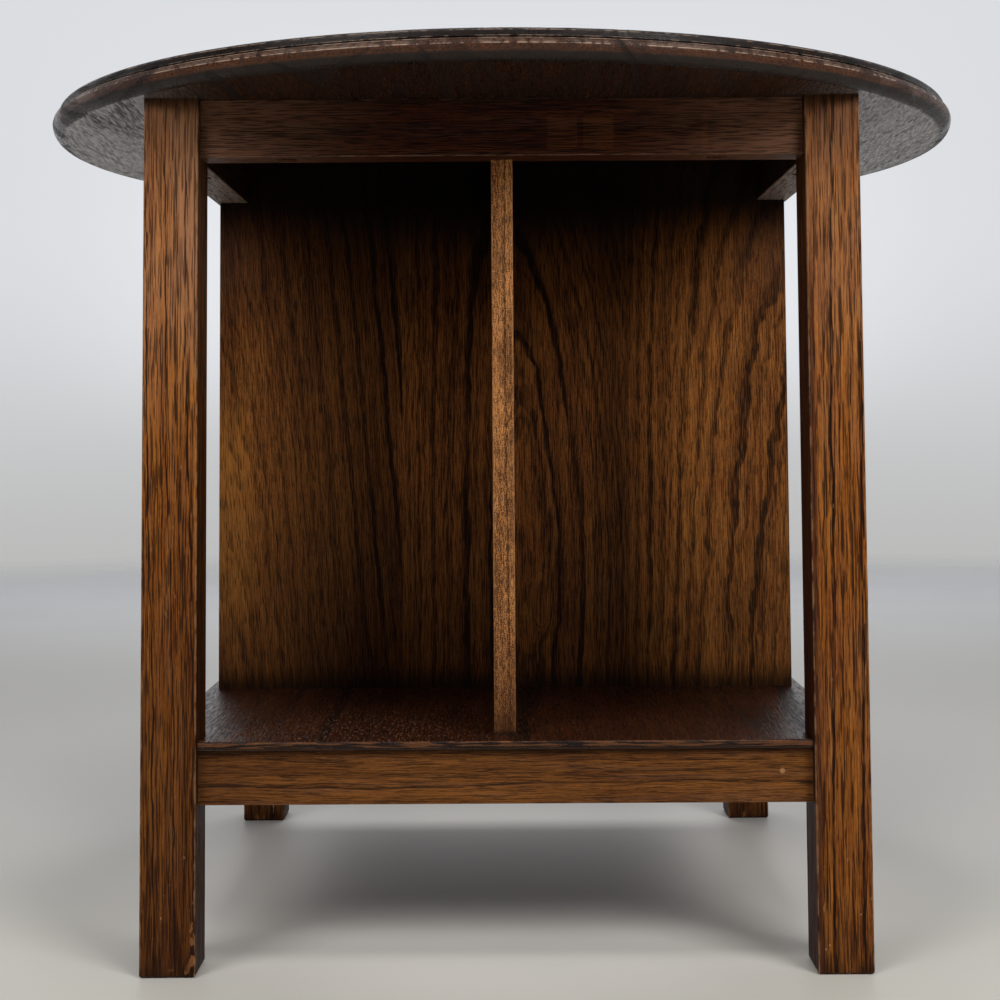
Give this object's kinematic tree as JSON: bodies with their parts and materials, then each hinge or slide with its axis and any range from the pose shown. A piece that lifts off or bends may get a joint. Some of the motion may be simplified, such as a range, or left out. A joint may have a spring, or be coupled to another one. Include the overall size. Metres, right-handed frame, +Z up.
{
  "type": "side table with book rack",
  "caption": "Round oak side table on square legs, with a low shelf that an upright panel and dividers split into bays for books.",
  "frame": {"origin": "on the floor, under the centre of the round top and midway between the legs", "axes": "+Z up; +X to the right and -Y towards the viewer, who stands at the front; the upright panel lies in the XZ plane"},
  "size_m": [0.6098, 0.61, 0.5186],
  "materials": {
    "oak_top": "dark stained and waxed, satin",
    "oak_leg": "brown stained and waxed, satin",
    "oak_apron": "dark reddish brown stain, satin",
    "oak_rail": "brown stained, satin",
    "oak_shelf": "dark reddish brown stain, semi-gloss",
    "oak_panel": "brown stained, bold grain, satin",
    "screw_steel": "dull, aged"
  },
  "bodies": {
    "root": {"top_board_left_outer": "oak_top", "top_board_left": "oak_top", "top_board_centre": "oak_top", "top_board_right": "oak_top", "top_board_right_outer": "oak_top", "leg_front_left": "oak_leg", "leg_front_right": "oak_leg", "leg_rear_left": "oak_leg", "leg_rear_right": "oak_leg", "apron_front": "oak_apron", "apron_rear": "oak_apron", "apron_left": "oak_apron", "apron_right": "oak_apron", "rail_front": "oak_rail", "rail_rear": "oak_rail", "rail_left": "oak_rail", "rail_right": "oak_rail", "shelf_bearer": "oak_rail", "shelf": "oak_shelf", "panel_board_left": "oak_panel", "panel_board_middle": "oak_panel", "panel_board_right": "oak_panel", "divider_front": "oak_leg", "divider_rear": "oak_leg", "top_screws": "screw_steel", "panel_screws": "screw_steel", "divider_screws": "screw_steel", "shelf_pins": "screw_steel"}
  },
  "joints": []
}
